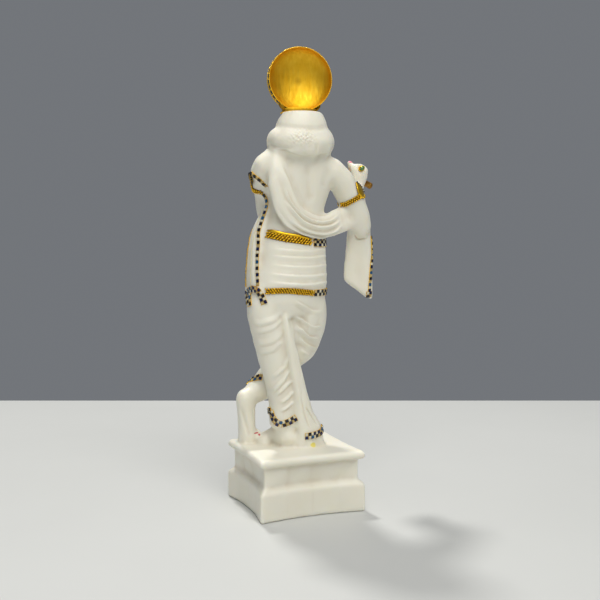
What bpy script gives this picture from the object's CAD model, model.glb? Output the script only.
import math
import random

import bmesh
import bpy
import numpy as np
from mathutils import Matrix, Vector
from mathutils.bvhtree import BVHTree


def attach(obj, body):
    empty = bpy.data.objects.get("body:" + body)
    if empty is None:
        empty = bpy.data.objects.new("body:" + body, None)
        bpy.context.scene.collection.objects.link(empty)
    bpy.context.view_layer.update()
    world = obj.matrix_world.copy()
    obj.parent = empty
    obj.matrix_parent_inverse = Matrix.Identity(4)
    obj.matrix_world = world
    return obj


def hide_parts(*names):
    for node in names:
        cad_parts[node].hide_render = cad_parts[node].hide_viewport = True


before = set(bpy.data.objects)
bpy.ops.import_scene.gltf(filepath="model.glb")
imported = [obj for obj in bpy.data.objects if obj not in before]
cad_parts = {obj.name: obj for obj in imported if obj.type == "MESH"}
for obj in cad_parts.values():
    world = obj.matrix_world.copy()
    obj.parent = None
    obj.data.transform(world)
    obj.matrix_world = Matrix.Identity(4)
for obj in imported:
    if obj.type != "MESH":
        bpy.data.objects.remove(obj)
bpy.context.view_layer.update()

# The casting: figure, shawl and stepped plinth in one, in polished warm white marble resin.
# Its form is the frame's solid with the facets melted away, and the folds, curls and face are worked
# over it, as a carver works the master before the mould is taken.
MM = 0.001
PLINTH_TOP = 39
HEAD_X = -4.5
FACE_X = -3.5
MERGE_GAP = 0.01 * MM
COARSE_GRAIN = 0.9 * MM
FINE_GRAIN = 0.55 * MM
FINE_ROUNDS = 3
BROAD_ROUNDS = 40
MOST_TRIANGLES = 190000


def body(x, y, z):
    """A place in millimetres to the figure's left, behind it, and above the plinth."""
    return Vector((x, y, z + PLINTH_TOP)) * MM


def from_body(places):
    """Places in those same millimetres, one row for each."""
    return places / MM - (0, 0, PLINTH_TOP)


def scaled(sizes):
    return Matrix.Diagonal((*[size * MM for size in sizes], 1))


def bead(form, place, half, turn=None, u=8, v=5):
    """A rounded bead: its place, its half sizes in millimetres, how it is turned, and its facets."""
    matrix = Matrix.Translation(place) @ (turn or Matrix()) @ scaled(half)
    bmesh.ops.create_uvsphere(form, u_segments=u, v_segments=v, radius=1, matrix=matrix)


def solid_of(node):
    form = bmesh.new()
    form.from_mesh(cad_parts[node].data)
    bmesh.ops.remove_doubles(form, verts=form.verts, dist=MERGE_GAP)
    return form


def piece_from(form, name):
    mesh = bpy.data.meshes.new(name)
    form.to_mesh(mesh)
    form.free()
    piece = bpy.data.objects.new(name, mesh)
    bpy.context.scene.collection.objects.link(piece)
    return piece


def worked(piece, kind, **settings):
    """Applies one modifier to a piece."""
    modifier = piece.modifiers.new(kind, kind)
    for name, value in settings.items():
        setattr(modifier, name, value)
    depsgraph = bpy.context.evaluated_depsgraph_get()
    mesh = bpy.data.meshes.new_from_object(piece.evaluated_get(depsgraph))
    piece.modifiers.clear()
    piece.data = mesh


def places_of(piece):
    places = np.empty(len(piece.data.vertices) * 3)
    piece.data.vertices.foreach_get("co", places)
    return places.reshape(-1, 3)


def normals_of(piece):
    normals = np.empty(len(piece.data.vertices) * 3, np.float32)
    piece.data.vertex_normals.foreach_get("vector", normals)
    return normals.reshape(-1, 3).astype(float)


def edges_of(piece):
    edges = np.empty(len(piece.data.edges) * 2, np.int32)
    piece.data.edges.foreach_get("vertices", edges)
    return edges.reshape(-1, 2)


def set_places(piece, places):
    piece.data.vertices.foreach_set("co", places.ravel())
    piece.data.update()


def skin_of(piece):
    return BVHTree.FromPolygons(
        [Vector(place) for place in places_of(piece)],
        [tuple(face.vertices) for face in piece.data.polygons],
    )


def relaxed(values, edges, rounds, share=0.5):
    """Evens out values over a mesh, each vertex towards the mean of its neighbours."""
    a, b = edges.T
    size = len(values)
    count = np.bincount(edges.ravel(), minlength=size)
    for _ in range(rounds):
        means = np.empty_like(values)
        for axis in range(values.shape[1]):
            column = values[:, axis]
            total = np.bincount(a, column[b], size) + np.bincount(b, column[a], size)
            means[:, axis] = total / count
        values = values + share * (means - values)
    return values


def melted(places, edges, rounds):
    """Evens out a surface and gives back what its broad forms lose by it."""
    once = relaxed(places, edges, rounds)
    twice = relaxed(once, edges, rounds)
    return 2 * once - twice


def smooth_step(value, low, high):
    share = np.clip((value - low) / (high - low), 0, 1)
    return share * share * (3 - 2 * share)


# Hollows that the cloth, the feet and the hands fill in: where each is, and its half sizes.
FILLINGS = (
    ((1, 0, 82), (9, 6, 17)),
    ((-4, -4, 68), (9, 6, 15)),
    ((0, 5.5, 2), (6, 4.5, 9)),
    ((17.4, -12, 1), (5, 6, 6)),
    ((24, -19, 4), (6, 6, 6)),
    ((-52.3, -24.4, 190.6), (2.1, 2.1, 2.4)),
    ((-53.3, -24.2, 187.6), (2.5, 2.4, 3)),
    ((-55, -23.6, 183.6), (3, 3, 4)),
    ((-60, -24.8, 184.5), (5.5, 3.2, 4)),
    ((-57.4, -28.6, 182.8), (1.8, 1.7, 3.6)),
    ((-60.8, -28.6, 181.3), (1.8, 1.7, 3.6)),
    ((-64.2, -28.4, 179.8), (1.8, 1.7, 3.4)),
    ((-52, -27.4, 180.6), (3, 2, 2)),
    ((-20.6, -29.8, 193.4), (3.2, 1.8, 1.8)),
    ((-24.6, -29.4, 195.2), (2.6, 1.7, 1.7)),
)
form = solid_of("figure")
# The raised finger is a little lower than the solid's.
FINGER_TIP = body(-51, -24.6, 195)
FINGER_REACH = 5 * MM
FINGER_SHIFT = Vector((-1.5, 0, -4.5)) * MM
tip = [vert for vert in form.verts if (vert.co - FINGER_TIP).length < FINGER_REACH]
bmesh.ops.translate(form, verts=tip, vec=FINGER_SHIFT)
# The cap of hair slopes in straight to the seat of the crown, and ends there in a level edge.
CAP_FOOT = 214
CAP_EDGE = 220.9
CAP_SLOPE = (0.93, 0.95, 1)
CAP_RISE = 0.7
cap_middle = body(-5.6, -1.5, 218)
cap = [vert for vert in form.verts if vert.co.z > body(0, 0, CAP_FOOT).z]
bmesh.ops.scale(form, verts=cap, vec=CAP_SLOPE, space=Matrix.Translation(-cap_middle))
top = [vert for vert in cap if vert.co.z > body(0, 0, CAP_EDGE).z]
bmesh.ops.translate(form, verts=top, vec=(0, 0, CAP_RISE * MM))
for place, half in FILLINGS:
    bead(form, body(*place), half, None, 24, 16)
casting = piece_from(form, "marble_figure")
worked(casting, "REMESH", mode="VOXEL", voxel_size=COARSE_GRAIN)
places = places_of(casting)
edges = edges_of(casting)
# The plinth and the cap keep their edges, and hands, face and toes their small forms.
KEPT_CRISP = (
    ((-57, -24, 185), (14, 14, 16)),
    ((-14, -30, 195), (18, 10, 14)),
    ((FACE_X, -16, 208), (14, 12, 15)),
)
spots = from_body(places)
x, y, z = spots.T
soft = smooth_step(z, -1, 8) * smooth_step(-z, -219, -216)
for centre, reach in KEPT_CRISP:
    off = (spots - centre) / reach
    soft = soft * (1 - np.exp(-np.sum(off**2, axis=1) ** 2))
soft = soft * (1 - smooth_step(-z, -14, -5) * smooth_step(-y, 6, 16))
soft = soft[:, None]
fine = relaxed(places, edges, FINE_ROUNDS)
broad = melted(places, edges, BROAD_ROUNDS)
set_places(casting, fine * (1 - soft) + broad * soft)

worked(casting, "REMESH", mode="VOXEL", voxel_size=FINE_GRAIN)
edges = edges_of(casting)
set_places(casting, relaxed(places_of(casting), edges, FINE_ROUNDS))
places = places_of(casting)
normals = normals_of(casting)
shown = skin_of(casting)


def smooth_line(points, steps=6):
    """A line of places, rounded through the points that it is given."""
    points = [np.array(point) for point in points]
    points = [2 * points[0] - points[1], *points, 2 * points[-1] - points[-2]]
    line = []
    for a, b, c, d in zip(points, points[1:], points[2:], points[3:]):
        for step in range(steps):
            t = step / steps
            bend = (2 * a - 5 * b + 4 * c - d) * t + (3 * b - a - 3 * c + d) * t * t
            line.append(b + ((c - a) + bend) * t / 2)
    return np.array([*line, points[-2]])


def fold(points, width, height, lee=None, fade=0.25):
    """Raises a soft ridge along a line, or sinks a groove where its height is below nought.

    It spreads `width` to the left of its run, seen from outside, and `lee` to the right, and dies
    out over a share `fade` of its length at either end. Sizes are in millimetres.
    """
    line = smooth_line([body(*point) for point in points])
    found = [shown.find_nearest(Vector(place)) for place in line]
    line = np.array([place for place, _, _, _ in found])
    outward = np.array([normal for _, normal, _, _ in found])
    lee = width if lee is None else lee
    reach = max(width, lee) * MM
    near = np.all((places > line.min(0) - reach) & (places < line.max(0) + reach), axis=1)
    near = np.flatnonzero(near)
    spots = places[near]
    least = np.full(len(near), np.inf)
    across = np.zeros(len(near))
    along = np.zeros(len(near))
    facing = np.zeros(len(near))
    spans = len(line) - 1
    for i in range(spans):
        run = line[i + 1] - line[i]
        length = max(np.linalg.norm(run), 1e-9)
        t = np.clip((spots - line[i]) @ run / length**2, 0, 1)
        off = spots - (line[i] + t[:, None] * run)
        distance = np.linalg.norm(off, axis=1)
        out = outward[i] + outward[i + 1]
        out /= np.linalg.norm(out)
        closer = distance < least
        least[closer] = distance[closer]
        across[closer] = (off @ np.cross(out, run / length))[closer]
        along[closer] = ((i + t) / spans)[closer]
        facing[closer] = (normals[near] @ out)[closer]
    share = least / np.where(across > 0, width * MM, lee * MM)
    rise = np.where(share < 1, 0.5 + 0.5 * np.cos(np.pi * np.minimum(share, 1)), 0)
    rise *= smooth_step(facing, 0.05, 0.5)
    if fade:
        rise *= smooth_step(along, 0, fade) * smooth_step(1 - along, 0, fade)
    places[near] += normals[near] * (rise * height * MM)[:, None]


def swelled(centre, reach, rise):
    """Swells the surface near a place, or sinks it where the rise is below nought."""
    off = (from_body(places) - centre) / reach
    share = np.exp(-np.sum(off**2, axis=1))
    places[:] = places + normals * (share * rise * MM)[:, None]


# The hip, the thigh and the knee are fuller, and the ankle, the shawl's end and the fist slimmer.
SWELLS = (
    ((-26, -2, 112), (10, 16, 30), 1.2),
    ((-24, -7, 86), (10, 13, 18), 1.3),
    ((-14, -7, 57), (9, 10, 9), 2.0),
    ((26, -12, 43), (8, 8, 6), -1.2),
    ((25, -10, 161), (6, 12, 8), -3.6),
    ((-8.4, 4.5, 79), (5, 9, 10), 2.6),
    ((-2, 6, 78), (4, 6, 9), -1.0),
    ((-63, -18, 190), (3, 5, 3), -1.4),
)
for lump in SWELLS:
    swelled(*lump)

# The shawl's folds sweep from the left shoulder down to the crook of the right arm. Each has its
# width above, its height, its width below, and its line.
SHAWL_FOLDS = (
    (1.0, 1.8, 7, [(14, 8, 190), (12, 11, 181), (9, 12, 174), (6, 12, 166), (1, 12, 158), (-7, 9, 153),
                   (-17, 6, 151), (-29, 2, 156)]),
    (1.0, 1.9, 2.4, [(12, 12, 173), (9, 12, 163), (2, 12, 155), (-9, 11, 149), (-21, 8, 149), (-33, 1, 154)]),
    (1.0, 1.9, 2.4, [(13, 13, 164), (6, 12, 155), (-2, 12, 148), (-13, 11, 145), (-24, 7, 146),
                     (-34, 2, 151)]),
    (1.0, 1.5, 2.2, [(9, 13, 150), (-1, 12, 144), (-13, 10, 141), (-25, 7, 142), (-34, 3, 147)]),
    (2.2, 1.7, 1.3, [(20, 10, 161), (17, 10, 155), (12, 10, 150), (5, 10, 144), (-4, 9, 140), (-16, 6, 138),
                     (-27, 4, 139), (-36, 1, 144)]),
    (4.5, -0.5, 4.5, [(-30, -1, 163), (-33, 0, 158), (-34, 1, 152), (-36, 3, 146), (-45, -8, 139)]),
)
for width, height, lee, line in SHAWL_FOLDS:
    fold(line, width, height, lee)
# Below the elbow it is drawn in.
fold([(-42, -3, 138), (-50, -7, 136.4), (-58, -10, 139)], 2, -1.1, lee=1, fade=0.3)

# Level pleats of the cloth round the hips.
for height, lift in ((130, 0.35), (125.3, 0.5), (119.2, 0.4), (113.2, 0.6), (107.8, 0.6)):
    ring = [(21 - (132 - height) / 24, 2, height + 0.8), (8, 11, height), (-7, 11, height - 0.5),
            (-19, 5, height + 0.5), (-23, -4, height + 1)]
    fold(ring, 0.8, lift * 1.25, lee=3.4, fade=0.3)

# Swags round the left thigh, slanting folds down the shin, and the fan of folds on the right thigh.
LEG_FOLDS = (
    (2.2, 0.8, 4, [(12, 9, 92), (17, 9, 85), (23, 8, 83), (27, 5, 82), (31, -1, 83)]),
    (1.7, 0.7, 3.6, [(12, 8, 86), (15, 8, 82), (19, 9, 79), (25, 6, 77), (29, -1, 76)]),
    (2, 0.7, 4, [(12, 8, 78), (15, 9, 73), (20, 8, 70), (25, 4, 69), (28, -1, 70)]),
    (2, 0.6, 4, [(12, 8, 71), (15, 9, 68), (18, 8, 65), (24, 3, 63), (26, -1, 63)]),
    (1.5, 0.9, 3, [(8, 9, 62), (10, 8, 54), (14, 8, 50), (18, 5, 45)]),
    (1.3, 1.1, 2.8, [(7, 9, 53), (10, 8, 46), (15, 7, 40), (18, 3, 36)]),
    (1.2, 1.1, 2.8, [(5, 10, 45), (10, 8, 40), (16, 5, 34)]),
    (1.2, 1.1, 2.6, [(4, 9, 38), (8, 9, 33), (14, 7, 29)]),
    (1.2, 0.9, 2.2, [(4, 9, 31), (8, 8, 27), (13, 7, 24)]),
    (1.0, 1.0, 3.8, [(6, 10, 98), (-1, 10, 94), (-9, 8, 90), (-18, 3, 89)]),
    (1.0, 1.4, 3.8, [(4, 6, 89), (-3, 5, 84), (-11, 4, 80), (-20, 0, 79)]),
    (1.0, 1.5, 3.8, [(2, 3, 81), (-4, 3, 76), (-11, 2, 72), (-20, -3, 71)]),
    (1.0, 1.3, 3.6, [(0, 1, 73), (-6, 0, 68), (-12, -1, 65), (-20, -7, 64)]),
    (1.0, 0.9, 3, [(-3, -2, 64), (-9, -3, 60.5), (-16, -8, 59)]),
)
for width, height, lee, line in LEG_FOLDS:
    fold(line, width, height, lee)

# In front the cloth is pleated down its middle, drawn round each thigh, and creased at the knee.
for side, drop in ((0, 0), (2.6, 2), (-2.6, 3), (5.2, 5)):
    fold([(side - 2, -16, 98), (side - 1, -17, 86), (side * 1.2, -17, 72), (side * 1.5 + 1, -16, 60 + drop)],
         0.8, -0.7, lee=1.8, fade=0.2)
for height, lift in ((129, 0.5), (123.5, 0.6), (118, 0.5), (112, 0.7), (107, 0.5)):
    fold([(24, -6, height + 0.5), (14, -15, height - 0.6), (0, -18, height), (-14, -15, height + 0.7),
          (-23, -7, height)], 0.8, lift, lee=3.2, fade=0.3)
for height, lift in ((92, 0.9), (84, 1.0), (76, 1.0), (68, 0.9)):
    fold([(-24, -8, height + 3), (-18, -16, height), (-10, -19, height - 5)], 0.9, lift, lee=3.4, fade=0.35)
    fold([(28, -6, height + 1), (22, -13, height - 1), (14, -16, height - 6)], 0.9, lift * 0.8, lee=3.4,
         fade=0.35)
for height in (52, 45, 38):
    fold([(-4, -16, height + 3), (5, -21, height), (15, -20, height - 5)], 0.9, 0.7, lee=2.8, fade=0.35)

# The tail stands out from the thigh, comes to a point above, and is pleated below.
fold([(9, 10, 86), (6, 10, 79), (3, 11, 64), (1, 10, 52), (-1, 10, 44)], 4, -1.9, lee=0.8, fade=0.2)
fold([(10.6, 9, 90), (9.2, 10, 78), (7, 11, 61), (4, 11, 45), (0, 12, 28)], 2.4, 0.9, lee=4.2, fade=0.12)
fold([(1, 12, 40), (-1, 12, 28), (-3, 12, 20), (-7, 11, 10)], 1.5, -0.8)
fold([(-3, 11, 28), (-8, 10, 21), (-14, 8, 12)], 1.4, -0.8)

# Upright pleats on the shawl's left end.
fold([(26, -11, 142), (29, -8, 130), (30, -6, 118), (31, -6, 107)], 0.9, -0.45)
fold([(23, -8, 150), (27, -4, 139), (28, -1, 127), (29, 1, 108)], 0.9, -0.5)
fold([(24, -3, 146), (26, -2, 136), (27, 0, 122), (28, 1, 108)], 0.9, -0.45)

# The arch of the crossed foot's sole.
fold([(34, -12, 27), (32, -12, 18), (29, -12, 10), (27, -12, 3)], 2.6, -0.8)

# The groove between the combed cap of hair and the roll.
fold([(17, -8, 211), (13, -3, 211), (9, 8, 210), (2, 13, 209), (-9, 14, 209), (-17, 11, 211), (-23, -3, 212)],
     3, -0.4)

# The roll of hair is gathered in a few thick locks, the left ones combed to the right and turned under.
LOCKS = (
    ((16, 9, 203), (5, 6, 4.5), 0.9),
    ((8, 14, 204.5), (5, 6, 4), 0.6),
    ((-15, 15, 201), (6, 7, 5.5), 0.9),
    ((-3, 17, 194), (5.5, 6, 3), 0.7),
    ((9, 14, 193.5), (5, 6, 2.6), 0.5),
    ((0, 17, 203), (5, 5, 4), 0.4),
)
for lump in LOCKS:
    swelled(*lump)
fold([(20, -2, 201), (18, 3, 199), (16, 8, 197), (12, 11, 196), (8, 14, 196), (4, 16, 197)], 3, -0.9, lee=3,
     fade=0.35)
fold([(-8, 16, 201), (-8.4, 16, 196), (-9, 14, 191)], 2, -0.6, fade=0.4)
fold([(19, 6, 195.6), (12, 12, 193.2), (5, 14, 190), (0, 14, 188.6), (-5.5, 14, 190.6), (-11, 14, 189.8),
      (-18, 12, 192), (-22, 9, 195.2)], 1.3, -1.4, lee=6, fade=0.15)
fold([(4, 16, 199), (1, 16, 194), (-2, 12, 189)], 3.4, -0.4, fade=0.4)
for side in (-1, 1):
    for turn, drop in ((96, 1.5), (116, 0.5)):
        lock = []
        for height, swing, out in ((208, 0, 15), (203, 5, 19), (198, 1, 19), (194, -5, 16)):
            angle = math.radians(turn + swing)
            lock.append((HEAD_X + side * out * math.sin(angle), out * math.cos(angle) - 1, height - drop))
        fold(lock, 1.7, -0.6, fade=0.3)

# The fingers of the closed hands lie side by side.
for gap, drop in ((-58.9, 0), (-62.3, 1.5)):
    fold([(gap, -24, 189 - drop), (gap - 0.2, -30, 185.4 - drop), (gap - 0.5, -31, 180.5 - drop)], 0.8, -0.9,
         fade=0.15)
for gap, drop in ((-13.4, 0), (-16.8, 1.6)):
    fold([(gap + 0.6, -31, 198 - drop), (gap, -29, 203.4 - drop), (gap - 0.6, -23, 205 - drop)], 0.8, -0.7,
         fade=0.15)

# A shallow valley down the bare back, and the line between the shoulder blades.
fold([(-5, 9, 188), (-6, 9, 173), (-9, 8, 160)], 5.5, -0.9)
fold([(-23, 7, 187), (-19, 7, 178), (-17, 7, 170)], 5, -0.5)

# The lids, the folds of the ears and the line of the mouth. Each line is given from the face's middle.
FACE_FOLDS = (
    (-0.45, [(1.8, -16, 211.3), (4, -16, 210.5), (6.2, -14, 211.4)]),
    (-0.4, [(1.8, -16, 212.6), (4, -16, 213.3), (6.4, -14, 212.2)]),
    (-0.5, [(11, -5, 212), (11, -3.4, 208), (10.6, -4.6, 206)]),
)
for side in (-1, 1):
    for height, line in FACE_FOLDS:
        fold([(FACE_X + side * x, y, z) for x, y, z in line], 0.8, height, fade=0.2)
fold([(FACE_X - 2.2, -16, 203.9), (FACE_X, -17, 203.5), (FACE_X + 2.2, -16, 203.9)], 0.7, -0.4, fade=0.2)

# The cap is combed back from the crown, and the curls at the nape are finely stippled.
COMB_STROKES = 46
COMB_DEPTH = 0.08
STIPPLE_RISE = 0.55
x, y, z = from_body(places).T
comb = smooth_step(z, 211, 213) * smooth_step(-z, -221, -219.5) * smooth_step(y, -8, -4)
angle = np.arctan2(x - HEAD_X, y)
relief = -COMB_DEPTH * comb * (0.5 + 0.5 * np.cos(COMB_STROKES * angle + 1.2 * np.sin(z / 3)))
stipple = np.exp(-(((x - 0.5) / 8) ** 2 + ((z - 203) / 4.5) ** 2)) * smooth_step(y, 4, 9)
relief += STIPPLE_RISE * stipple * np.sin(2.0 * x + np.sin(1.3 * z)) * np.sin(2.2 * z + np.sin(1.2 * x))
places += normals * (relief * MM)[:, None]

set_places(casting, relaxed(places, edges, 1, 0.3))
casting.data.calc_loop_triangles()
triangles = len(casting.data.loop_triangles)
worked(casting, "TRIANGULATE")
worked(casting, "DECIMATE", decimate_type="COLLAPSE", ratio=min(1, MOST_TRIANGLES / triangles))
casting.data.polygons.foreach_set("use_smooth", np.ones(len(casting.data.polygons), bool))


def keep_hollow(piece, values):
    hollow = piece.data.attributes.new("hollow", "FLOAT", "POINT")
    hollow.data.foreach_set("value", values.astype(np.float32))


def mark_hollows(piece, rounds, depth):
    """Keeps how far each place lies below the mean of those round it, from 0 to 1 at `depth`."""
    spots = places_of(piece)
    sunk = np.sum((relaxed(spots, edges_of(piece), rounds) - spots) * normals_of(piece), axis=1)
    keep_hollow(piece, np.clip(sunk / depth, 0, 1))


mark_hollows(casting, 16, 0.45 * MM)


def mask_group(name, inputs):
    """A shader group that puts out one mask, with its two end nodes."""
    group = bpy.data.node_groups.new(name, "ShaderNodeTree")
    for socket, kind, value in inputs:
        made = group.interface.new_socket(socket, in_out="INPUT", socket_type="NodeSocket" + kind)
        made.default_value = value
    group.interface.new_socket("Mask", in_out="OUTPUT", socket_type="NodeSocketFloat")
    return group, group.nodes.new("NodeGroupInput"), group.nodes.new("NodeGroupOutput")


def vector_step(group, operation, first, second=None):
    """One vector sum in a group, with what it reads joined to it."""
    made = group.nodes.new("ShaderNodeVectorMath")
    made.operation = operation
    group.links.new(first, made.inputs[0])
    if second is not None:
        group.links.new(second, made.inputs[1])
    return made.outputs["Value" if operation == "LENGTH" else "Vector"]


def mapped(group, value, low, high, result):
    """Maps a value to a share of its way from `low` to `high`, and puts it out as the mask."""
    made = group.nodes.new("ShaderNodeMapRange")
    made.inputs["From Min"].default_value = low
    made.inputs["From Max"].default_value = high
    group.links.new(value, made.inputs["Value"])
    group.links.new(made.outputs["Result"], result.inputs["Mask"])


# Clouding: a soft unevenness of colour and polish, from the way a piece is cast, painted or plated.
clouding, given, result = mask_group(
    "clouding", [("Scale", "Float", 60.0), ("Detail", "Float", 4.0), ("Stretch", "Vector", (1, 1, 1))])
here = clouding.nodes.new("ShaderNodeTexCoord").outputs["Object"]
noise = clouding.nodes.new("ShaderNodeTexNoise")
clouding.links.new(vector_step(clouding, "MULTIPLY", here, given.outputs["Stretch"]), noise.inputs["Vector"])
for socket in ("Scale", "Detail"):
    clouding.links.new(given.outputs[socket], noise.inputs[socket])
mapped(clouding, noise.outputs["Fac"], 0.3, 0.7, result)

# Paint spot: a soft-edged oval of paint about a place.
paint_spot, given, result = mask_group(
    "paint spot", [("Place", "Vector", (0, 0, 0)), ("Half size", "Vector", (1, 1, 1))])
here = paint_spot.nodes.new("ShaderNodeTexCoord").outputs["Object"]
offset = vector_step(paint_spot, "SUBTRACT", here, given.outputs["Place"])
shares = vector_step(paint_spot, "DIVIDE", offset, given.outputs["Half size"])
mapped(paint_spot, vector_step(paint_spot, "LENGTH", shares), 1.0, 0.75, result)


class Finish:
    """A principled material under making, with short ways to add and join its nodes."""

    def __init__(self, name, **plain):
        self.material = bpy.data.materials.new(name)
        self.material.use_nodes = True
        self.tree = self.material.node_tree
        self.shader = self.tree.nodes["Principled BSDF"]
        for socket, value in plain.items():
            self.shader.inputs[socket.replace("_", " ")].default_value = value

    def node(self, kind, **values):
        made = self.tree.nodes.new("ShaderNode" + kind)
        for name, value in values.items():
            setattr(made, name, value)
        return made

    def join(self, output, socket):
        self.tree.links.new(output, self.shader.inputs[socket] if isinstance(socket, str) else socket)

    def group(self, group, **values):
        made = self.node("Group", node_tree=group)
        for socket, value in values.items():
            made.inputs[socket.replace("_", " ")].default_value = value
        return made.outputs["Mask"]

    def hollow(self):
        return self.node("Attribute", attribute_name="hollow").outputs["Fac"]

    def blend(self, mask, first, second):
        """A colour between two colours or colour outputs, by a mask."""
        mix = self.node("Mix", data_type="RGBA")
        self.join(mask, mix.inputs["Factor"])
        for value, socket in ((first, mix.inputs["A"]), (second, mix.inputs["B"])):
            if isinstance(value, tuple):
                socket.default_value = (*value, 1)
            else:
                self.join(value, socket)
        return mix.outputs["Result"]

    def span(self, mask, low, high):
        """A value between two values, by a mask."""
        spread = self.node("MapRange")
        self.join(mask, spread.inputs["Value"])
        spread.inputs["To Min"].default_value = low
        spread.inputs["To Max"].default_value = high
        return spread.outputs["Result"]

    def bump(self, height, distance, strength):
        bump = self.node("Bump")
        bump.inputs["Distance"].default_value = distance
        bump.inputs["Strength"].default_value = strength
        self.join(height, bump.inputs["Height"])
        self.join(bump.outputs["Normal"], "Normal")


def clouded(name, scale, detail, colours, polish, **plain):
    """A material that drifts between two colours and two roughnesses."""
    made = Finish(name, **plain)
    clouds = made.group(clouding, Scale=scale, Detail=detail)
    made.join(made.blend(clouds, *colours), "Base Color")
    made.join(made.span(clouds, *polish), "Roughness")
    return made.material


MARBLE_WHITE = (0.87, 0.85, 0.74)
MARBLE_CLOUD = (0.84, 0.81, 0.69)
MARBLE_HOLLOW = (0.66, 0.58, 0.43)
marble = Finish("marble resin", Subsurface_Weight=0.3, Subsurface_Scale=0.004, IOR=1.45, Coat_Weight=0.08,
                Coat_Roughness=0.15)
marble.shader.inputs["Subsurface Radius"].default_value = (1.0, 0.8, 0.5)
clouds = marble.group(clouding, Scale=35.0, Detail=3.0)
colour = marble.blend(clouds, MARBLE_WHITE, MARBLE_CLOUD)
colour = marble.blend(marble.span(marble.hollow(), 0, 0.75), colour, MARBLE_HOLLOW)
# Paint: pink nails, red on the sole, a spot of leaf gold by the tail, the lips, eyes and brows.
NAIL_PINK = (0.8, 0.25, 0.33)
SOLE_RED = (0.62, 0.08, 0.1)
LEAF_GOLD = (0.9, 0.78, 0.2)
LIP_RED = (0.55, 0.13, 0.12)
EYE_WHITE = (0.9, 0.88, 0.84)
LASH_BROWN = (0.06, 0.035, 0.02)
SPOTS = [
    ((-52.5, -23.4, 191.8), (1.7, 2, 1.5), NAIL_PINK),
    ((-27, -28.6, 196.4), (1.6, 1.6, 1.8), NAIL_PINK),
    ((20.4, -14, 5.4), (1.1, 3, 1), SOLE_RED),
    ((22.4, -13, 6.8), (2.2, 3, 0.45), SOLE_RED),
    ((19.4, -15, 4.6), (0.8, 3, 0.9), SOLE_RED),
    ((-8, 11.6, 1.6), (2.6, 3, 1.9), LEAF_GOLD),
    ((FACE_X, -16, 203.5), (2.4, 2.6, 1.3), LIP_RED),
]
EYE_SPOTS = (
    (4, 212.0, (2.2, 2.4, 0.75), EYE_WHITE),
    (4, 212.0, (0.8, 2.4, 0.75), LASH_BROWN),
    (4.1, 212.8, (2.6, 2.4, 0.26), LASH_BROWN),
    (4.2, 215.6, (3, 2.4, 0.4), LASH_BROWN),
)
for side in (-1, 1):
    for out, height, half, paint in EYE_SPOTS:
        SPOTS.append(((FACE_X + side * out, -15, height), half, paint))
for place, half, paint in SPOTS:
    mask = marble.group(paint_spot, Place=body(*place), Half_size=Vector(half) * MM)
    colour = marble.blend(mask, colour, paint)
marble.join(colour, "Base Color")
marble.join(marble.span(clouds, 0.36, 0.46), "Roughness")
marble.bump(marble.group(clouding, Scale=900.0, Detail=2.0), 0.02 * MM, 0.5)

casting.data.materials.clear()
casting.data.materials.append(marble.material)
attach(casting, "root")
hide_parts("figure")

# The crown: a gold dish cast with its rim and boss, open to the back, with a row of dark oval stones
# round its side and beads along its rim, on a collar that stands in a socket in the hair.
CROWN_CENTRE = body(-6.2, -6.4, 244.6)
CROWN_TURN = math.radians(-10)
CROWN_STEPS = 108
GADROONS = 18
GADROON_DEPTH = 0.55
SIDE_STONES = 36
RIM_BEADS = 110
PETALS = 8
LATHE_GAP = 0.02 * MM
GOLD_BRIGHT = (1.0, 0.66, 0.055)
GOLD_WARM = (0.88, 0.52, 0.02)
GOLD_BROWN = (0.2, 0.095, 0.01)


def gold_finish(name, roughness, grain, dark, stretch=(1, 1, 1)):
    """Bright gold paint over metal, browner in its hollows, with the fine streaks of the brush."""
    gold = Finish(name, Metallic=1.0)
    clouds = gold.group(clouding, Scale=160.0, Detail=4.0)
    streaks = gold.group(clouding, Scale=grain, Detail=4.0, Stretch=stretch)
    colour = gold.blend(clouds, GOLD_BRIGHT, GOLD_WARM)
    colour = gold.blend(gold.span(streaks, 0, 0.45), colour, GOLD_WARM)
    gold.join(gold.blend(gold.span(gold.hollow(), 0, dark), colour, GOLD_BROWN), "Base Color")
    gold.join(gold.span(streaks, roughness, roughness + 0.14), "Roughness")
    gold.bump(streaks, 0.12 * MM, 0.8)
    return gold.material


def glass_finish(name, colour):
    """Small pressed glass with a foiled back, so it is dark and glossy rather than clear."""
    dark = tuple(0.55 * share for share in colour)
    return clouded(name, 420.0, 2.0, (colour, dark), (0.12, 0.25), Specular_IOR_Level=0.4, Coat_Weight=0.15,
                   Coat_Roughness=0.05)


def smoothed(piece, angle=40):
    piece.data.polygons.foreach_set("use_smooth", np.ones(len(piece.data.polygons), bool))
    piece.data.set_sharp_from_angle(angle=math.radians(angle))
    return piece


def lathed(form, places, axis, steps):
    """Turns a line of places about an axis through the origin."""
    verts = [form.verts.new(place) for place in places]
    edges = [form.edges.new(pair) for pair in zip(verts, verts[1:])]
    bmesh.ops.spin(form, geom=verts + edges, cent=(0, 0, 0), axis=axis, angle=math.tau, steps=steps,
                   use_merge=True, dvec=(0, 0, 0))
    bmesh.ops.remove_doubles(form, verts=form.verts, dist=LATHE_GAP)
    bmesh.ops.recalc_face_normals(form, faces=form.faces)


def side_bead(form, i, count, radius, out, half, u=8, v=5):
    """A bead on the crown, the i-th of a ring: how far from its axis, how far back, and its half sizes."""
    turn = Matrix.Rotation(-math.tau * i / count, 4, "Y")
    bead(form, turn @ Vector((radius * MM, out * MM, 0)), half, turn, u, v)


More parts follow.
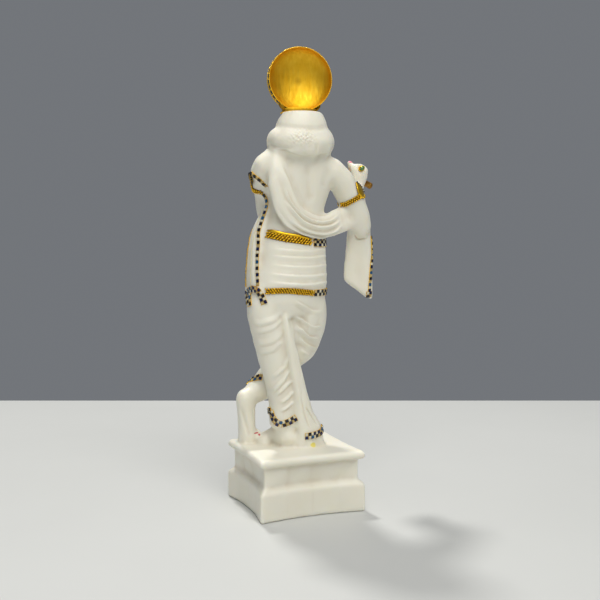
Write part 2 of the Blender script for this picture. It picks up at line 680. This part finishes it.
CROWN_PLACE = Matrix.Translation(CROWN_CENTRE) @ Matrix.Rotation(CROWN_TURN, 4, "Z")
CROWN_PROFILE = [
    (0, -6.5), (5, -6.25), (10, -5.4), (14, -4.1), (17.4, -2.2), (19.6, -0.3), (20.7, 1.4), (21.0, 2.6),
    (21.2, 3.3), (21.45, 3.5), (21.65, 3.2), (21.6, 2.6), (21.35, 1.9), (21.35, -2.6), (21.6, -3.0),
    (21.6, -3.9), (21.2, -4.6), (19.4, -5.9), (16.8, -7.6), (13, -9.6), (9, -10.8), (6, -11.2), (4.2, -11.5),
    (3.8, -12.4), (3, -13.6), (1.6, -14.6), (0, -14.9),
]
form = bmesh.new()
lathed(form, [Vector((radius, out, 0)) * MM for radius, out in CROWN_PROFILE], (0, 1, 0), CROWN_STEPS)
crown = piece_from(form, "crown_dish")
worked(crown, "SUBSURF", levels=1, render_levels=1)
# Rays are pressed into its front, round the boss.
spots = places_of(crown)
x, y, z = (spots / MM).T
front = smooth_step(-y, 7, 8.5) * smooth_step(np.hypot(x, z), 6, 9)
spots[:, 1] -= GADROON_DEPTH * MM * front * np.abs(np.cos(GADROONS * np.arctan2(z, x) / 2)) ** 0.5
set_places(crown, spots)
crown.data.transform(CROWN_PLACE)
smoothed(crown)
mark_hollows(crown, 3, 0.25 * MM)
crown_gold = gold_finish("brushed gold paint", 0.46, 520.0, 0.8, (1, 1, 0.16))
gold_plate = gold_finish("gold plate", 0.28, 400.0, 0.8)
dark_glass = glass_finish("dark glass", (0.008, 0.008, 0.016))
crown.data.materials.append(crown_gold)
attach(crown, "root")
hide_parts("crown")

form = bmesh.new()
for i in range(SIDE_STONES):
    side_bead(form, i + 0.5, SIDE_STONES, 21.3, -0.3, (0.5, 2.0, 1.5), 12, 7)
side_stones = smoothed(piece_from(form, "crown_side_stones"))
side_stones.data.transform(CROWN_PLACE)
side_stones.data.materials.append(dark_glass)
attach(side_stones, "root")

form = bmesh.new()
for i in range(SIDE_STONES):
    for out in (-2.5, 2.3):
        side_bead(form, i, SIDE_STONES, 21.4, out, (0.6, 0.7, 0.6))
for i in range(RIM_BEADS):
    side_bead(form, i, RIM_BEADS, 21.45, 3.3, (0.45, 0.45, 0.5))
    side_bead(form, i, RIM_BEADS, 21.4, -4.2, (0.55, 0.5, 0.5))
# The boss in front is a small open flower.
for i in range(PETALS):
    side_bead(form, i, PETALS, 5.2, -11.6, (2.1, 0.8, 1.4), 12, 7)
crown_beads = smoothed(piece_from(form, "crown_beads"))
crown_beads.data.transform(CROWN_PLACE)
crown_beads.data.materials.append(gold_plate)
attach(crown_beads, "root")

# The collar under the crown: an oval band of the same gold, waisted, and beaded where it meets the
# hair. It is glued into the socket in the hair, and a browned scroll at either side fills the corner
# between it and the dish.
COLLAR_X = -6.2
COLLAR_Y = -7.4
COLLAR_WIDE = 12.9
COLLAR_DEEP = 7
COLLAR_BEADS = 44
SCROLL_TURN = 50
SCROLL_BROWN = 0.9
COLLAR_KEYS = [
    (218.3, 0.98), (221.0, 0.98), (221.6, 1.0), (222.1, 0.97), (223.2, 0.93), (224.3, 0.97), (224.8, 0.95),
]


def drawn_out(form, ring_edges):
    """Draws a ring of edges out into a new ring, and gives its edges and its corners."""
    made = bmesh.ops.extrude_edge_only(form, edges=ring_edges)["geom"]
    ring_edges = [part for part in made if isinstance(part, bmesh.types.BMEdge)]
    return ring_edges, [part for part in made if isinstance(part, bmesh.types.BMVert)]


form = bmesh.new()
ring = bmesh.ops.create_circle(form, cap_ends=False, segments=64, radius=1)["verts"]
height, share = COLLAR_KEYS[0]
middle = body(COLLAR_X, COLLAR_Y, height)
scale = Matrix.Diagonal((COLLAR_WIDE * share * MM, COLLAR_DEEP * share * MM, 1, 1))
bmesh.ops.transform(form, verts=ring, matrix=Matrix.Translation(middle) @ scale)
ring_edges = form.edges[:]
for (height, share), (_, before) in zip(COLLAR_KEYS[1:], COLLAR_KEYS):
    ring_edges, ring = drawn_out(form, ring_edges)
    above = body(COLLAR_X, COLLAR_Y, height)
    bmesh.ops.scale(form, verts=ring, vec=(share / before, share / before, 1),
                    space=Matrix.Translation(-middle))
    bmesh.ops.translate(form, verts=ring, vec=(0, 0, above.z - middle.z))
    middle = above
bmesh.ops.holes_fill(form, edges=form.edges, sides=0)
bmesh.ops.recalc_face_normals(form, faces=form.faces)
for i in range(COLLAR_BEADS):
    angle = math.tau * i / COLLAR_BEADS
    place = Vector((COLLAR_X + COLLAR_WIDE * math.cos(angle), COLLAR_Y + COLLAR_DEEP * math.sin(angle), 0))
    bead(form, body(place.x, place.y, 221.7), (0.6, 0.6, 0.5))
for side in (-1, 1):
    turn = Matrix.Rotation(math.radians(-SCROLL_TURN * side), 4, "Y")
    bead(form, body(COLLAR_X + side * COLLAR_WIDE, -6.4, 225.8), (3.2, 2.5, 1.2), turn, 20, 12)
collar = smoothed(piece_from(form, "crown_collar"))
mark_hollows(collar, 3, 0.2 * MM)
x, y, z = from_body(places_of(collar)).T
brown = SCROLL_BROWN * smooth_step(np.abs(x - COLLAR_X), 10.6, 11.6) * smooth_step(z, 223, 224)
hollow = np.empty(len(brown), np.float32)
kept = collar.data.attributes["hollow"].data
kept.foreach_get("value", hollow)
kept.foreach_set("value", np.maximum(hollow, brown).astype(np.float32))
collar.data.materials.append(crown_gold)
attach(collar, "root")

# The flute: a copper-brown rod of resin with a turned ring near each end, a bored end and six finger
# holes, laid through the hands to the lips.
FLUTE_LIPS = body(-3.2, -21, 203.6)
FLUTE_TIP = body(-70, -26, 174.6)
FLUTE_RADIUS = 2.3
FLUTE_HOLES = 6
FIRST_HOLE = 24
HOLE_PITCH = 7.5
FLUTE_PROFILE = [
    (0, 1.2), (1.2, 1.2), (1.25, 0), (1.9, 0), (2.25, 0.35), (2.3, 0.9), (2.3, 2.2), (2.12, 2.5), (2.12, 3),
    (2.3, 3.3), (2.26, 6), (2.26, 76), (2.3, 78.7), (2.12, 79), (2.12, 79.5), (2.3, 79.8), (2.3, 81.2),
    (1.9, 82), (0, 82),
]
form = bmesh.new()
lathed(form, [(radius * MM, 0, length * MM) for radius, length in FLUTE_PROFILE], (0, 0, 1), 32)
run = (FLUTE_LIPS - FLUTE_TIP).normalized()
seat = Matrix.Translation(FLUTE_TIP) @ run.to_track_quat("Z", "Y").to_matrix().to_4x4()
bmesh.ops.transform(form, verts=form.verts, matrix=seat)
flute = smoothed(piece_from(form, "flute_rod"), 50)
COPPER_LIGHT = (0.5, 0.26, 0.04)
COPPER_DARK = (0.2, 0.085, 0.014)
BORE_BLACK = (0.01, 0.006, 0.004)
copper = Finish("copper brown", Metallic=0.7)
clouds = copper.group(clouding, Scale=220.0, Detail=4.0)
colour = copper.blend(clouds, COPPER_LIGHT, COPPER_DARK)
for i in range(FLUTE_HOLES):
    place = FLUTE_TIP + run * (FIRST_HOLE + HOLE_PITCH * i) * MM + Vector((0, -FLUTE_RADIUS * MM, 0.6 * MM))
    mask = copper.group(paint_spot, Place=place, Half_size=Vector((1, 1.2, 1)) * MM)
    colour = copper.blend(mask, colour, BORE_BLACK)
copper.join(colour, "Base Color")
copper.join(copper.span(clouds, 0.3, 0.48), "Roughness")
copper.bump(copper.group(clouding, Scale=500.0, Detail=2.0), 0.04 * MM, 0.6)
flute.data.materials.append(copper.material)
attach(flute, "root")
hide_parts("flute")

# The green stone on the back of the right hand: a low polished oval, held in a gold bezel with a
# beaded foot.
GEM_PLACE = body(-58, -16.9, 186.6)
GEM_TURN = Matrix.Rotation(math.radians(35), 4, "Y")
GEM_NARROW = 0.74
BEZEL_BEADS = 26
BEZEL_PROFILE = [
    (0, 0.3), (1.85, 0.4), (1.95, 0.8), (2.1, 0.9), (2.25, 0.8), (2.4, 0.3), (2.5, -1.4), (0, -1.4),
]
form = bmesh.new()
lathed(form, [Vector((radius, out, 0)) * MM for radius, out in BEZEL_PROFILE], (0, 1, 0), 48)
for i in range(BEZEL_BEADS):
    angle = math.tau * i / BEZEL_BEADS
    bead(form, Vector((2.3 * math.cos(angle), 0.4, 2.3 * math.sin(angle))) * MM, (0.24, 0.24, 0.24))
oval = Matrix.Translation(GEM_PLACE) @ GEM_TURN @ Matrix.Diagonal((1, 1, GEM_NARROW, 1))
bmesh.ops.transform(form, verts=form.verts, matrix=oval)
bezel = smoothed(piece_from(form, "hand_bezel_ring"), 60)
mark_hollows(bezel, 2, 0.1 * MM)
bezel.data.materials.append(gold_plate)
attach(bezel, "root")
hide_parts("hand_bezel")

form = bmesh.new()
bead(form, Vector((0, 0.5 * MM, 0)), (1.95, 1.3, 1.95), None, 32, 16)
bmesh.ops.bisect_plane(form, geom=form.verts[:] + form.edges[:] + form.faces[:], plane_co=(0, 0.5 * MM, 0),
                       plane_no=(0, 1, 0), clear_inner=True)
bmesh.ops.holes_fill(form, edges=form.edges, sides=0)
bmesh.ops.transform(form, verts=form.verts, matrix=oval)
gem = smoothed(piece_from(form, "hand_gem_stone"), 60)
GREENS = ((0.03, 0.13, 0.02), (0.10, 0.24, 0.04))
gem.data.materials.append(clouded("green stone", 300.0, 4.0, GREENS, (0.08, 0.16), Coat_Weight=0.8,
                                  Coat_Roughness=0.03, IOR=1.57))
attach(gem, "root")
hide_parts("hand_gem")

# The trim: stones and braid, glued in lines along the edges of the cloth. Each line keeps to the
# frame's own low band, is moved to where the photograph shows it, and sits on the casting.
STONE_PITCH = 2.1
skin = skin_of(casting)


def on_casting(place):
    found, outward, _, _ = skin.find_nearest(Vector(place))
    return found, outward


def band_line(node):
    """The middle of a glued band, one place for each of its rings of four corners."""
    form = solid_of(node)
    hub = next(vert for vert in form.verts if len(vert.link_edges) == 4)
    passed = {hub}
    ring = {edge.other_vert(hub) for edge in hub.link_edges}
    line = []
    while len(ring) == 4:
        line.append(sum((vert.co for vert in ring), Vector()) / 4)
        passed |= ring
        ring = {edge.other_vert(vert) for vert in ring for edge in vert.link_edges} - passed
    form.free()
    return line


CAMERA_AZIMUTH = math.radians(22.4)
CAMERA_DISTANCE = 600 * MM
CAMERA_SIDE = 3.5 * MM
CAMERA_HEIGHT = 182 * MM
SENSOR = 36
LENS = 54
HORIZON = 230
FRAME_SIZE = 600
NEAR_SIGHT = 540
STRAY_LIMIT = 7 * MM
back = Vector((math.sin(CAMERA_AZIMUTH), math.cos(CAMERA_AZIMUTH), 0))
right = Vector((-math.cos(CAMERA_AZIMUTH), math.sin(CAMERA_AZIMUTH), 0))
up = Vector((0, 0, 1))
CAMERA_PLACE = back * CAMERA_DISTANCE + right * CAMERA_SIDE + up * CAMERA_HEIGHT


def seen(pixel):
    """Where the casting shows at a pixel of the photograph, or lies nearest to that line of sight."""
    x, y = pixel
    ray = right * (x - FRAME_SIZE / 2) + up * (HORIZON - y) - back * FRAME_SIZE * LENS / SENSOR
    hit = skin.ray_cast(CAMERA_PLACE, ray)[0]
    if hit:
        return hit
    steps = [CAMERA_PLACE + ray.normalized() * (NEAR_SIGHT + 2 * i) * MM for i in range(60)]
    return min((skin.find_nearest(step) for step in steps), key=lambda found: found[3])[0]


def nearest(line, place):
    """Which of a line's places lies nearest to one."""
    return min(range(len(line)), key=lambda i: (Vector(line[i]) - place).length)


def laid_anew(line, pixels):
    """A line of places, with its seen part laid where the photograph shows it."""
    if not pixels:
        return line
    shown = [seen(pixel) for pixel in pixels]
    shown = [place for place in shown if (Vector(line[nearest(line, place)]) - place).length < STRAY_LIMIT]
    first, last = nearest(line, shown[0]), nearest(line, shown[-1])
    if first > last:
        line = line[::-1]
        first, last = len(line) - 1 - first, len(line) - 1 - last
    return line[:max(first - 1, 0)] + shown + line[last + 2:]


def girdle(centre, axis, start, sweep, toward):
    """Places round a limb: where rays from its middle, square to its run, leave the casting."""
    axis = Vector(axis).normalized()
    first = Vector(toward) - Vector(toward).dot(axis) * axis
    line = []
    for i in range(25):
        angle = math.radians(start + sweep * i / 24)
        ray = Matrix.Rotation(angle, 3, axis) @ first.normalized()
        hit, _, _, _ = skin.ray_cast(centre + ray * 3 * MM, ray)
        line.append(hit)
    return line


def laid_line(points, pitch, side=0.0):
    """Seats along a line: place on the casting, way along, way across and way out of each.

    They are `pitch` apart at the most, evenly spaced, and moved `side` across the line.
    """
    line = [Vector(point) for point in smooth_line(points, 12)]
    line = [on_casting(point)[0] for point in line]
    if on_casting(line[0])[1].cross(line[1] - line[0]).z < 0:
        line.reverse()
    run = [0.0]
    for a, b in zip(line, line[1:]):
        run.append(run[-1] + (b - a).length)
    count = max(2, round(run[-1] / (pitch * MM)))
    seats = []
    for i in range(count):
        goal = run[-1] * (i + 0.5) / count
        j = min(next(k for k in range(1, len(run)) if run[k] >= goal - 1e-9), len(run) - 1)
        a, b = line[j - 1], line[j]
        share = (goal - run[j - 1]) / max(run[j] - run[j - 1], 1e-9)
        place = a.lerp(b, share)
        along = (line[min(j + 2, len(line) - 1)] - line[max(j - 3, 0)]).normalized()
        _, outward = on_casting(place)
        across = outward.cross(along).normalized()
        place, outward = on_casting(place + across * side * MM)
        across = outward.cross(along).normalized()
        seats.append((place, across.cross(outward).normalized(), across, outward))
    return seats


def turned(along, across, outward, place):
    """A frame whose X runs along the line, Y across it and Z out of the casting."""
    turn = Matrix((along, across, outward)).transposed().to_4x4()
    return Matrix.Translation(place) @ turn


# The rows of stones: square glass stones in gold cups, one or more rows wide, where black, navy and
# blue stones take turns with amber and gold-foiled ones.
blue_glass = glass_finish("blue glass", (0.015, 0.11, 0.26))
navy_glass = glass_finish("navy glass", (0.01, 0.014, 0.07))
amber_glass = glass_finish("amber glass", (0.62, 0.47, 0.2))
foil_glass = glass_finish("foiled glass", (0.86, 0.8, 0.58))
GLASSES = [gold_plate, dark_glass, navy_glass, blue_glass, amber_glass, foil_glass]
CUP_HEIGHT = 0.55
CUP_LONG = 1.04
CUP_WIDE = 1.02
CUP_LIFT = 0.15
STONE_HEIGHT = 0.75
STONE_WIDE = 0.95
DARK_LONG = 1.04
LIGHT_LONG = 0.84
LIGHT_LOW = 0.85
STONE_BEVEL = 0.32 * MM


def stone_band(name, node, pixels, rows, shares=(0.6, 0.3, 0.1), light=(0.5, 0.5), foot=-PLINTH_TOP):
    """Rows of stones along a node's line, from the height `foot` up, or along the pixels alone.

    `shares` deals black, navy and blue stones, `light` amber and foiled ones.
    """
    if node:
        points = [place for place in band_line(node) if place.z > body(0, 0, foot).z]
        points = laid_anew(points, pixels)
    else:
        points = [seen(pixel) for pixel in pixels]
    draw = random.Random(name)
    form = bmesh.new()
    size = STONE_PITCH * MM
    tops = []
    for row in range(rows):
        side = (row - (rows - 1) / 2) * STONE_PITCH
        for i, (place, along, across, outward) in enumerate(laid_line(points, STONE_PITCH, side)):
            seat = turned(along, across, outward, place + outward * CUP_LIFT * MM)
            cup = seat @ Matrix.Diagonal((size * CUP_LONG, size * CUP_WIDE, CUP_HEIGHT * MM, 1))
            bmesh.ops.create_cube(form, size=1, matrix=cup)
            height = STONE_HEIGHT * MM
            if (i + row) % 2:
                glass = draw.choices((4, 5), light)[0]
                length = size * LIGHT_LONG
                height *= LIGHT_LOW
            else:
                glass = draw.choices((1, 2, 3), shares)[0]
                length = size * DARK_LONG
            lift = Matrix.Translation((0, 0, (CUP_HEIGHT * MM + height) / 2))
            stone = seat @ lift @ Matrix.Diagonal((length, size * STONE_WIDE, height, 1))
            before = len(form.faces)
            bmesh.ops.create_cube(form, size=1, matrix=stone)
            form.faces.ensure_lookup_table()
            for face in form.faces[before:]:
                face.material_index = glass
                if face.normal.dot(outward) > 0.9:
                    tops += face.edges[:]
            for side_way in (-0.5, 0.5):
                prong = seat @ Vector((size / 2, side_way * size, CUP_HEIGHT * MM * 0.7))
                bead(form, prong, (0.24, 0.24, 0.34), turned(along, across, outward, Vector()), 6, 4)
    bmesh.ops.bevel(form, geom=tops, offset=STONE_BEVEL, offset_type="OFFSET", segments=1, profile=0.5,
                    affect="EDGES", material=-1, clamp_overlap=True)
    piece = piece_from(form, name)
    for glass in GLASSES:
        piece.data.materials.append(glass)
    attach(piece, "root")
    if node:
        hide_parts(node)


WAIST_STONES_SEEN = [(313.5, 241.6), (320, 242), (326, 241.4)]
HIP_STONES_SEEN = [(314, 293), (320, 292.6), (326, 291.4)]
SHOULDER_ROW_SEEN = [(251.5, 172.5), (256, 177), (261, 181), (266.5, 186.3)]
LEFT_ROW_SEEN = [(263.5, 194), (266.7, 200), (267, 206), (264.8, 213), (261, 224), (258.8, 232), (258.3, 244),
                 (257.4, 257), (257.4, 271), (257.8, 286)]
LEFT_HEM_SEEN = [(252, 289.3), (256.5, 290), (259.5, 293), (262.3, 298), (264.5, 304)]
LEFT_POINT_SEEN = [(250, 306), (249.6, 299.5), (250, 294.6)]
RIGHT_ROW_SEEN = [(370.6, 223), (371.2, 236), (371.4, 250), (371, 265), (370, 280), (369, 292)]
RIGHT_CORNER_SEEN = [(366.6, 294.6), (371, 294)]
ANKLE_ROWS_SEEN = [(270.8, 411), (272.6, 416), (276, 421.6), (281, 424), (286, 422.8), (291, 420.6),
                   (296.5, 417.4)]
TAIL_ROWS_SEEN = [(305, 436.3), (311, 435.6), (318, 433.4), (322.6, 431.4)]
SHIN_FOOT = 31
stone_band("waist_stone_rows", "waist_stones", WAIST_STONES_SEEN, 3)
stone_band("hip_stone_rows", "hip_stones", HIP_STONES_SEEN, 2)
stone_band("left_shoulder_stone_row", "left_shoulder_stones", SHOULDER_ROW_SEEN, 1, (0.95, 0.05, 0), (1, 0))
stone_band("left_edge_stone_row", "left_edge_stones", LEFT_ROW_SEEN, 1, (0.5, 0.3, 0.2))
stone_band("left_hem_stone_rows", "left_hem_stones", LEFT_HEM_SEEN, 2)
stone_band("left_point_stones", None, LEFT_POINT_SEEN, 2)
stone_band("right_edge_stone_row", "right_edge_stones", RIGHT_ROW_SEEN, 1, (0.4, 0.4, 0.2))
stone_band("right_corner_stones", None, RIGHT_CORNER_SEEN, 2)
stone_band("left_leg_hem_stone_rows", "left_leg_hem_stones", ANKLE_ROWS_SEEN, 2)
stone_band("right_leg_hem_stone_rows", "right_leg_hem_stones", [], 2, foot=SHIN_FOOT)
stone_band("tail_stone_rows", "tail_stones", TAIL_ROWS_SEEN, 2, (0.45, 0.35, 0.2))

# The gold braid: a smooth cord above and slanting granules below, glued round each belt, and rows of
# granules round each armlet.


def cord(form, seats, half_across, half_out, lift):
    """A smooth oval roll through a row of seats, drawn to a point at either end."""
    ring_edges = None
    last = len(seats) - 1
    for i, (place, along, across, outward) in enumerate(seats):
        slim = min(1, 0.35 + 0.65 * min(i, last - i) / 3)
        seat = turned(across, outward, along, place + outward * lift * MM)
        seat = seat @ Matrix.Diagonal((half_across * slim * MM, half_out * slim * MM, 1, 1))
        if ring_edges is None:
            verts = bmesh.ops.create_circle(form, cap_ends=True, segments=12, radius=1, matrix=seat)["verts"]
            ring_edges = list({edge for vert in verts for edge in vert.link_edges})
        else:
            ring_edges, verts = drawn_out(form, ring_edges)
            bmesh.ops.transform(form, verts=verts, matrix=seat @ before.inverted())
        before = seat
    bmesh.ops.contextual_create(form, geom=ring_edges)


def granules(form, points, sides, pitch, half, slant, seed, lift=0.5, wild=12):
    """Rows of granules: how far across each row lies, their half sizes, and their slant in degrees.

    `wild` is how many degrees a granule may lie off that slant.
    """
    draw = random.Random(seed)
    for row, side in enumerate(sides):
        for i, (place, along, across, outward) in enumerate(laid_line(points, pitch, side)):
            shift = along * (pitch * MM * 0.5 * (row % 2) + draw.uniform(-0.15, 0.15) * MM)
            place = place + shift + outward * (lift + draw.uniform(-0.12, 0.12)) * MM
            swing = Matrix.Rotation(math.radians(slant + draw.uniform(-wild, wild)), 4, "Z")
            size = draw.uniform(0.88, 1.12)
            half_now = [value * size for value in half]
            bead(form, place, half_now, turned(along, across, outward, Vector()) @ swing)


def braid_piece(form, name, node, low=0.45, high=1.15):
    """A piece of braid, browned from `low` down and bright from `high` up, above the casting."""
    bmesh.ops.recalc_face_normals(form, faces=form.faces)
    piece = smoothed(piece_from(form, name), 70)
    found = [skin.find_nearest(Vector(place)) for place in places_of(piece)]
    above = np.array([distance for _, _, _, distance in found])
    keep_hollow(piece, 1 - smooth_step(above / MM, low, high))
    piece.data.materials.append(braid_gold)
    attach(piece, "root")
    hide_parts(node)


braid_gold = gold_finish("braid gold", 0.24, 700.0, 1.0)
WAIST_BRAID_SEEN = [(266, 233.3), (275, 235), (285, 237.2), (295, 238.7), (305, 240.2), (311.5, 241)]
line = laid_anew(band_line("waist_braid"), WAIST_BRAID_SEEN)
form = bmesh.new()
cord(form, laid_line(line, 1.2, 2.1), 1.05, 0.85, 0.6)
cord(form, laid_line(line, 1.2, -0.9), 2.2, 0.5, 0.1)
granules(form, line, (0.5, -0.9, -2.3), 2.0, (1.3, 0.6, 1.0), 36, "waist", 0.4, 24)
braid_piece(form, "waist_braid_gold", "waist_braid")

HIP_BRAID_SEEN = [(265, 291.6), (275, 291), (285, 290.8), (295, 291.4), (305, 292.3), (313, 293)]
line = laid_anew(band_line("hip_braid"), HIP_BRAID_SEEN)
form = bmesh.new()
cord(form, laid_line(line, 1.2, 0), 1.9, 0.5, 0.1)
granules(form, line, (-1.3, 0, 1.3), 1.75, (1.12, 0.56, 0.9), -34, "hip", 0.4, 24)
braid_piece(form, "hip_braid_gold", "hip_braid")

LEFT_BRAID_SEEN = [(249, 241), (247.6, 255), (246.6, 268), (246.2, 278), (246.4, 287)]
form = bmesh.new()
line = laid_anew(band_line("left_edge_braid"), LEFT_BRAID_SEEN)
granules(form, line, (0,), 1.1, (0.65, 0.5, 0.5), 20, "edge", 0.2)
braid_piece(form, "left_edge_braid_gold", "left_edge_braid", -0.2, 0.35)

# Beside it runs a thread of paler gold, finer than the rest.
LEFT_THREAD_SEEN = [(263, 209), (258.5, 220), (254.3, 235), (251.8, 250), (251, 268), (251, 286)]
form = bmesh.new()
granules(form, [seen(pixel) for pixel in LEFT_THREAD_SEEN], (0,), 0.8, (0.36, 0.22, 0.26), 0, "thread", 0.1)
thread = smoothed(piece_from(form, "left_edge_thread"))
PALE_GOLDS = ((0.92, 0.84, 0.52), (0.8, 0.7, 0.36))
thread.data.materials.append(clouded("pale gold thread", 600.0, 2.0, PALE_GOLDS, (0.3, 0.45), Metallic=0.5))
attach(thread, "root")

# The armlets: bands of the same granules, glued round the upper arms as far as the shawl and the arm
# let them, each with a gold leaf that stands up the arm and is edged with small dark stones.
LEAF_HALF = 4.3
LEAF_TAPER = 0.55
EDGE_STONES = 6


def armlet(name, node, points, leaf_place, leaf_up, tall, seed, edges=(-1, 1)):
    """A band of granules with a leaf that stands up the arm, edged with dark stones."""
    form = bmesh.new()
    cord(form, laid_line(points, 1.0), 1.6, 0.5, 0.1)
    granules(form, points, (-1.2, 0.1, 1.4), 1.6, (0.76, 0.58, 0.9), 25, seed, 0.5, 20)
    place, outward = on_casting(leaf_place)
    up_arm = (Vector(leaf_up) - Vector(leaf_up).dot(outward) * outward).normalized()
    side = up_arm.cross(outward).normalized()
    leaf = turned(side, up_arm, outward, place + outward * 0.5 * MM)
    made = bmesh.ops.create_uvsphere(form, u_segments=24, v_segments=12, radius=1,
                                     matrix=leaf @ scaled((LEAF_HALF, tall / 2, 1.1)))["verts"]
    for vert in made:
        spot = leaf.inverted() @ vert.co
        climb = spot.y / (tall / 2 * MM)
        spot.x *= 1 - LEAF_TAPER * max(0, climb)
        vert.co = leaf @ spot
    braid_piece(form, name, node)
    stones = bmesh.new()
    for side_way in edges:
        for i in range(EDGE_STONES):
            climb = -0.55 + 0.28 * i
            wide = LEAF_HALF * math.sqrt(max(0, 1 - climb * climb)) * (1 - LEAF_TAPER * max(0, climb))
            place = leaf @ (Vector((side_way * wide, climb * tall / 2, 0.35)) * MM)
            bead(stones, place, (0.62, 0.78, 0.6), turned(side, up_arm, outward, Vector()))
    stones = smoothed(piece_from(stones, name + "_stones"))
    stones.data.materials.append(dark_glass)
    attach(stones, "root")


RIGHT_ARMLET_SEEN = [(340.5, 205.3), (345, 204.5), (350, 202.2), (355, 199.3), (360, 196.2), (363.3, 193.6)]
RIGHT_LEAF_SEEN = (359.2, 190)
arm_run = Vector((-14.4, -3.8, -24.6))
line = laid_anew(girdle(body(-43.8, -4, 163.4), arm_run, -150, 300, (-1, 0, 0)), RIGHT_ARMLET_SEEN)
armlet("right_armlet_gold", "right_armlet", line, seen(RIGHT_LEAF_SEEN), -arm_run, 12.5, "right", (1,))
LEFT_ARMLET_SEEN = [(251.3, 184), (252.8, 188), (256, 190.8), (260, 192), (262.6, 192.2)]
LEFT_LEAF_SEEN = (251.6, 178)
arm_run = Vector((-1.5, -7.4, -10))
line = girdle(body(18, -10, 175), arm_run, -95, 130, (1, 0, 0))
line = [place for place in line if place.y < body(0, -12, 0).y]
line = sorted(line, key=lambda place: place.y) + [seen(pixel) for pixel in LEFT_ARMLET_SEEN]
armlet("left_armlet_gold", "left_armlet", line, seen(LEFT_LEAF_SEEN), -arm_run, 8, "left")

# The stage: a pale table under soft studio light, and the camera where the photograph was taken,
# level, behind the figure and to its left.
TABLE_BACK = 0.36
TABLE_HALF = 2
TABLE_GREYS = ((0.6, 0.61, 0.595), (0.55, 0.56, 0.545))
form = bmesh.new()
bmesh.ops.create_grid(form, x_segments=1, y_segments=1, size=TABLE_HALF)
matrix = Matrix.Rotation(-CAMERA_AZIMUTH, 4, "Z") @ Matrix.Translation((0, TABLE_HALF - TABLE_BACK, 0))
bmesh.ops.transform(form, verts=form.verts, matrix=matrix)
floor = piece_from(form, "table")
floor.data.materials.append(clouded("pale table", 2.5, 6.0, TABLE_GREYS, (0.5, 0.6), Specular_IOR_Level=0.3))
camera_data = bpy.data.cameras.new("camera")
camera_data.sensor_width = SENSOR
camera_data.lens = LENS
camera_data.shift_y = (HORIZON - FRAME_SIZE / 2) / FRAME_SIZE
camera = bpy.data.objects.new("camera", camera_data)
bpy.context.scene.collection.objects.link(camera)
camera.location = CAMERA_PLACE
camera.rotation_euler = (math.pi / 2, 0, math.pi - CAMERA_AZIMUTH)
bpy.context.scene.camera = camera


def soft_light(name, place, aim, size, power, colour):
    data = bpy.data.lights.new(name, "AREA")
    data.shape = "DISK"
    data.size = size
    data.energy = power
    data.color = colour
    light = bpy.data.objects.new(name, data)
    bpy.context.scene.collection.objects.link(light)
    light.location = place
    light.rotation_euler = (aim - place).to_track_quat("-Z", "Y").to_euler()


middle = Vector((0, 0, 0.15))
soft_light("key", middle + back * 1.3 + right * 0.32 + up * 1.55, middle, 1.9, 31, (1, 0.975, 0.93))
soft_light("overhead", middle + back * 0.15 + up * 1.5, middle, 0.8, 5, (1, 0.985, 0.96))
soft_light("window", middle - back * 0.55 - right * 0.24 + up * 1.14, middle, 0.14, 10, (1, 0.98, 0.95))
world = bpy.data.worlds.new("studio")
bpy.context.scene.world = world
world.use_nodes = True
backdrop = world.node_tree.nodes["Background"]
backdrop.inputs["Color"].default_value = (0.17, 0.18, 0.195, 1)
backdrop.inputs["Strength"].default_value = 1.0
bpy.context.scene.view_settings.view_transform = "Standard"
